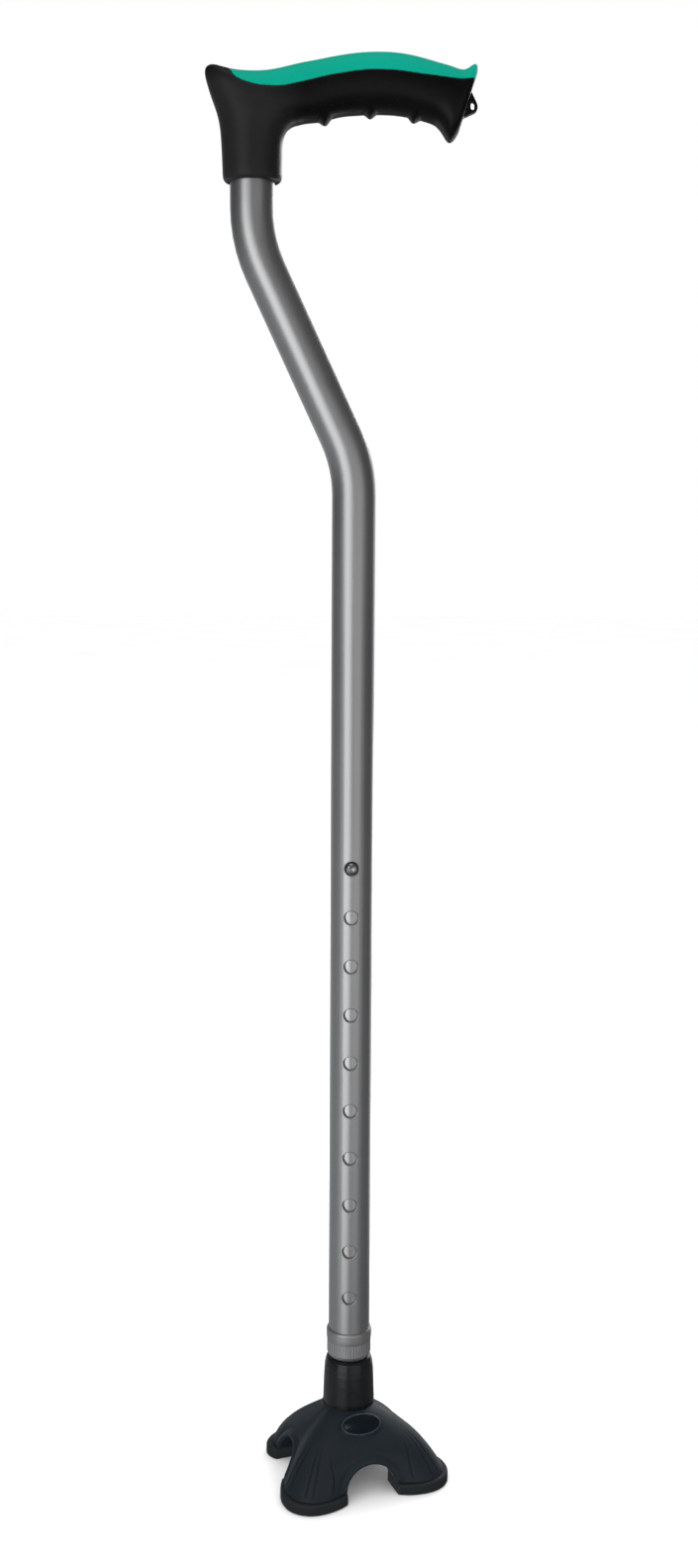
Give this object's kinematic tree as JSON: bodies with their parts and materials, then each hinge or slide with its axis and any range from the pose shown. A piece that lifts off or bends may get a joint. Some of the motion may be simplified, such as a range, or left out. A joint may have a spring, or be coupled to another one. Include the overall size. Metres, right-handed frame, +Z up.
{
  "type": "quad walking cane",
  "caption": "Height-adjustable offset cane with a T-shaped palm grip, perforated telescoping shaft, knurled lock collar and a small four-legged base.",
  "frame": {"origin": "centre of the whole cane's footprint box, on the floor", "axes": "+Z up along the shaft, +X along the grip from the socket to its hooked end, -Y towards the side with the height holes"},
  "size_m": [0.1308, 0.0936, 0.7194],
  "materials": {
    "anodised_tube": "satin grey anodised",
    "bright_tube": "plain drawn aluminium",
    "handle_black": "satin black moulding",
    "palm_teal": "soft-touch teal",
    "collar_grey": "satin grey, knurled",
    "gloss_black": "glossy black",
    "base_rubber": "matt blue-black moulding",
    "sole_rubber": "matt black rubber",
    "emblem": "glossy dark blue",
    "button_steel": "polished steel",
    "steel": "zinc plated",
    "nylon": "dark nylon"
  },
  "bodies": {
    "lower_section": {"inner_tube": "bright_tube", "inner_tube_glide": "nylon", "button_spring": "steel", "base_stem": "gloss_black", "base_shell": "base_rubber", "emblem_plate": "emblem", "sole_front_left": "sole_rubber", "sole_front_right": "sole_rubber", "sole_rear_left": "sole_rubber", "sole_rear_right": "sole_rubber", "tube_foot_insert": "nylon", "base_washer": "steel", "base_bolt": "steel"},
    "upper_section": {"outer_tube": "anodised_tube", "handle_body": "handle_black", "palm_pad": "palm_teal", "handle_screw": "steel", "tube_top_plug": "nylon", "collet_ring": "nylon"},
    "lock_collar": {"lock_collar": "collar_grey"},
    "snap_button": {"snap_button": "button_steel"}
  },
  "joints": [
    {"name": "height_adjust", "type": "slide", "parent": "lower_section", "child": "upper_section", "axis": [0, 0, 1], "range_m": [0, 0.2286], "deforming": ["snap_button"]},
    {"name": "button_press", "type": "slide", "parent": "lower_section", "child": "snap_button", "axis": [0, 1, 0], "range_m": [0, 0.0028], "stiffness_N_per_m": 1500, "springref_m": -0.002, "deforming": ["button_spring"]},
    {"name": "lock_collar_turn", "type": "hinge", "parent": "upper_section", "child": "lock_collar", "pos_m": [0.00723, 0.00627, 0.069], "axis": [0, 0, 1], "range_deg": [-270, 0]}
  ]
}
